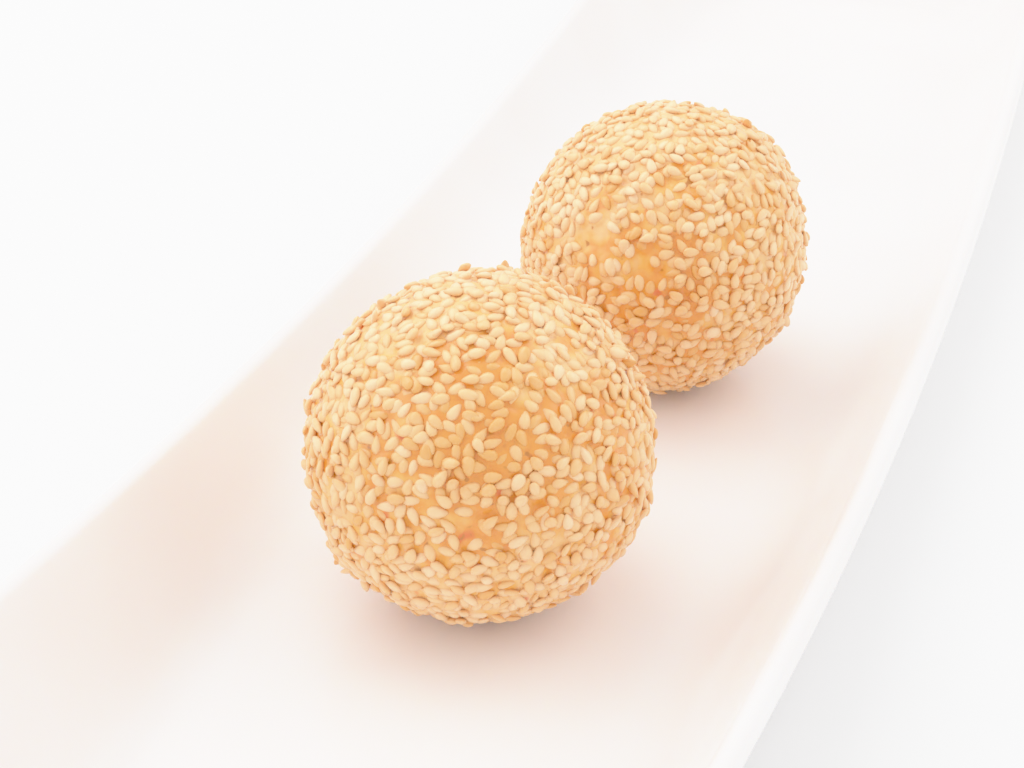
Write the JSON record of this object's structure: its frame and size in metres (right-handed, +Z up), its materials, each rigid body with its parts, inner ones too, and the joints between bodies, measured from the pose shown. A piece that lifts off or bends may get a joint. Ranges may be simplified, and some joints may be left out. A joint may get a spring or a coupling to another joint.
{
  "type": "plate of sesame balls",
  "caption": "Long white porcelain serving plate with raised, upswept sides, holding fried round dough balls coated all over with sesame seeds.",
  "frame": {"origin": "middle of the plate's footprint, on the surface that its foot stands on", "axes": "+X along the plate's length, away from the nearer ball's end; +Y across the plate; +Z up"},
  "size_m": [0.4092, 0.1168, 0.0617],
  "materials": {
    "porcelain": "white glazed porcelain, smooth and glossy",
    "sesame_crust": "golden fried dough coated with toasted hulled sesame seeds"
  },
  "bodies": {
    "root": {"plate": "porcelain", "sesame_ball_front": "sesame_crust", "sesame_ball_back": "sesame_crust"}
  },
  "joints": []
}
